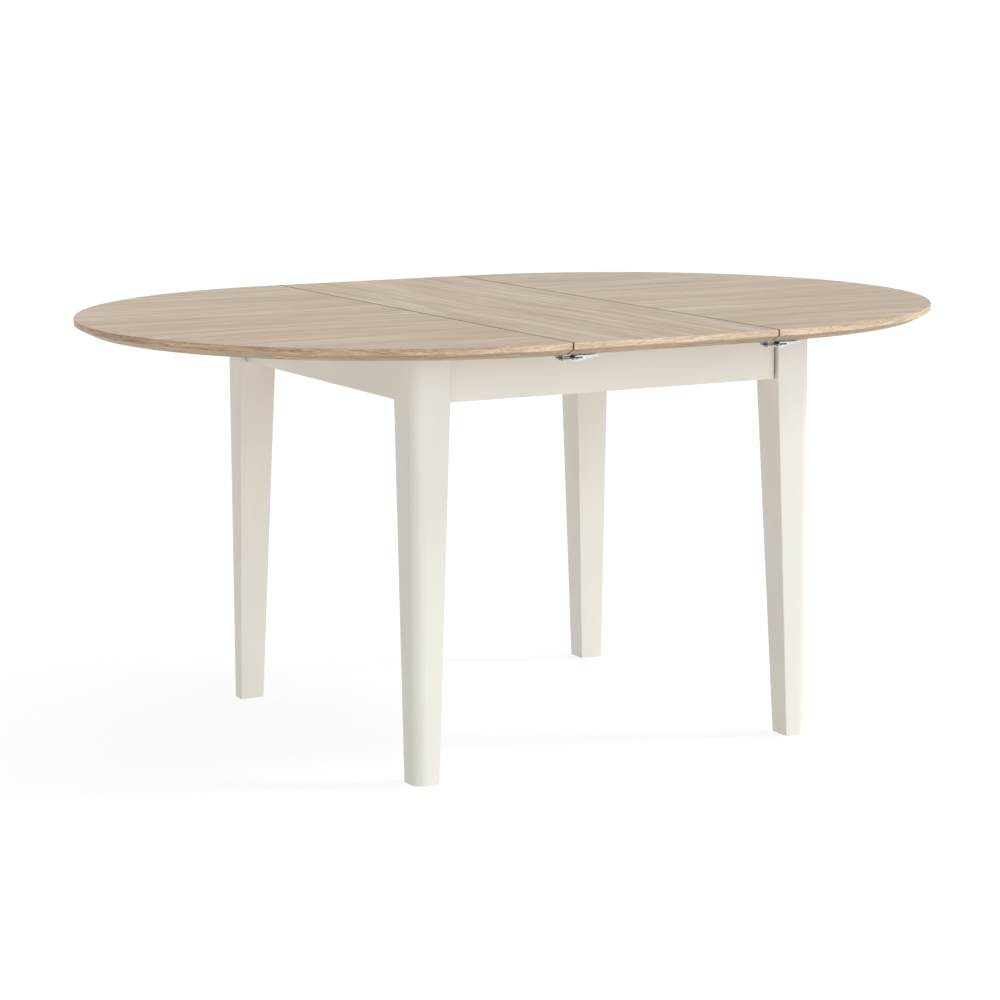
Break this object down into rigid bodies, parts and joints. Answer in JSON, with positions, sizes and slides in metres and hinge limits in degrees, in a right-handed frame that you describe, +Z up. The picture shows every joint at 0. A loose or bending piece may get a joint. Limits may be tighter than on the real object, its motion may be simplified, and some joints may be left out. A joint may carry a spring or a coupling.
{
  "type": "extending dining table",
  "caption": "Round dining table in limed oak, opened out by a lift-out leaf to an oblong with round ends, on a cream painted base with tapered legs and chrome catches at the seams.",
  "frame": {"origin": "on the floor under the middle of the extended top", "axes": "+X along the extended length, +Y to the back, +Z up"},
  "size_m": [1.634, 1.2, 0.78],
  "materials": {
    "top_veneer": "limed oak veneer, matt lacquer",
    "edge_oak": "solid oak, satin lacquer",
    "base_paint": "ivory satin paint on wood",
    "inner_beech": "planed beech, unfinished",
    "catch_chrome": "bright chrome plate",
    "zinc_steel": "zinc-plated steel",
    "glide_plastic": "off-white nylon"
  },
  "bodies": {
    "frame": {"apron_back": "base_paint", "apron_front": "base_paint", "apron_left": "base_paint", "apron_right": "base_paint", "corner_block_back_left": "inner_beech", "corner_block_back_right": "inner_beech", "corner_block_front_left": "inner_beech", "corner_block_front_right": "inner_beech", "corner_block_screws": "zinc_steel", "foot_glides": "glide_plastic", "hanger_bolts": "zinc_steel", "hanger_nuts": "zinc_steel", "hanger_washers": "zinc_steel", "leaf_catch_bases": "catch_chrome", "leaf_catch_pins": "catch_chrome", "leaf_catch_screws": "zinc_steel", "leaf_dowels": "inner_beech", "leaf_keepers": "catch_chrome", "leaf_lipping_back": "edge_oak", "leaf_lipping_front": "edge_oak", "leaf_panel": "top_veneer", "leg_back_left": "base_paint", "leg_back_right": "base_paint", "leg_front_left": "base_paint", "leg_front_right": "base_paint", "rail_back": "inner_beech", "rail_front": "inner_beech", "slide_buffers": "inner_beech"},
    "left_top": {"left_dowels": "inner_beech", "left_keeper_screws": "zinc_steel", "left_keepers": "catch_chrome", "left_lipping": "edge_oak", "left_panel": "top_veneer", "left_runner_back": "inner_beech", "left_runner_front": "inner_beech", "left_runner_screws": "zinc_steel"},
    "right_top": {"right_catch_bases": "catch_chrome", "right_catch_pins": "catch_chrome", "right_catch_screws": "zinc_steel", "right_lipping": "edge_oak", "right_panel": "top_veneer", "right_runner_back": "inner_beech", "right_runner_front": "inner_beech", "right_runner_screws": "zinc_steel"},
    "left_front_lever": {"left_lever_front": "catch_chrome"},
    "left_front_bail": {"left_bail_front": "catch_chrome"},
    "left_back_lever": {"left_lever_back": "catch_chrome"},
    "left_back_bail": {"left_bail_back": "catch_chrome"},
    "right_front_lever": {"right_lever_front": "catch_chrome"},
    "right_front_bail": {"right_bail_front": "catch_chrome"},
    "right_back_lever": {"right_lever_back": "catch_chrome"},
    "right_back_bail": {"right_bail_back": "catch_chrome"}
  },
  "joints": [
    {"name": "left_top_slide", "type": "slide", "parent": "frame", "child": "left_top", "axis": [-1, 0, 0], "range_m": [0, 0.015]},
    {"name": "right_top_slide", "type": "slide", "parent": "frame", "child": "right_top", "axis": [1, 0, 0], "range_m": [0, 0.015]},
    {"name": "left_front_lever_hinge", "type": "hinge", "parent": "frame", "child": "left_front_lever", "pos_m": [-0.1805, -0.564, 0.75], "axis": [0, 1, 0], "range_deg": [0, 150]},
    {"name": "left_front_bail_hinge", "type": "hinge", "parent": "left_front_lever", "child": "left_front_bail", "pos_m": [-0.1705, -0.564, 0.751], "axis": [0, -1, 0], "range_deg": [0, 172.5]},
    {"name": "left_back_lever_hinge", "type": "hinge", "parent": "frame", "child": "left_back_lever", "pos_m": [-0.1805, 0.564, 0.75], "axis": [0, 1, 0], "range_deg": [0, 150]},
    {"name": "left_back_bail_hinge", "type": "hinge", "parent": "left_back_lever", "child": "left_back_bail", "pos_m": [-0.1705, 0.564, 0.751], "axis": [0, -1, 0], "range_deg": [0, 172.5]},
    {"name": "right_front_lever_hinge", "type": "hinge", "parent": "right_top", "child": "right_front_lever", "pos_m": [0.2245, -0.564, 0.75], "axis": [0, 1, 0], "range_deg": [0, 150]},
    {"name": "right_front_bail_hinge", "type": "hinge", "parent": "right_front_lever", "child": "right_front_bail", "pos_m": [0.2345, -0.564, 0.751], "axis": [0, -1, 0], "range_deg": [0, 172.5]},
    {"name": "right_back_lever_hinge", "type": "hinge", "parent": "right_top", "child": "right_back_lever", "pos_m": [0.2245, 0.564, 0.75], "axis": [0, 1, 0], "range_deg": [0, 150]},
    {"name": "right_back_bail_hinge", "type": "hinge", "parent": "right_back_lever", "child": "right_back_bail", "pos_m": [0.2345, 0.564, 0.751], "axis": [0, -1, 0], "range_deg": [0, 172.5]}
  ],
  "couplings": [
    {"joint": "left_front_lever_hinge", "follows": "left_top_slide", "rad_per_m": 174.5},
    {"joint": "left_front_bail_hinge", "follows": "left_top_slide", "rad_per_m": 200.68},
    {"joint": "left_back_lever_hinge", "follows": "left_top_slide", "rad_per_m": 174.5},
    {"joint": "left_back_bail_hinge", "follows": "left_top_slide", "rad_per_m": 200.68},
    {"joint": "right_front_lever_hinge", "follows": "right_top_slide", "rad_per_m": 174.5},
    {"joint": "right_front_bail_hinge", "follows": "right_top_slide", "rad_per_m": 200.68},
    {"joint": "right_back_lever_hinge", "follows": "right_top_slide", "rad_per_m": 174.5},
    {"joint": "right_back_bail_hinge", "follows": "right_top_slide", "rad_per_m": 200.68}
  ]
}
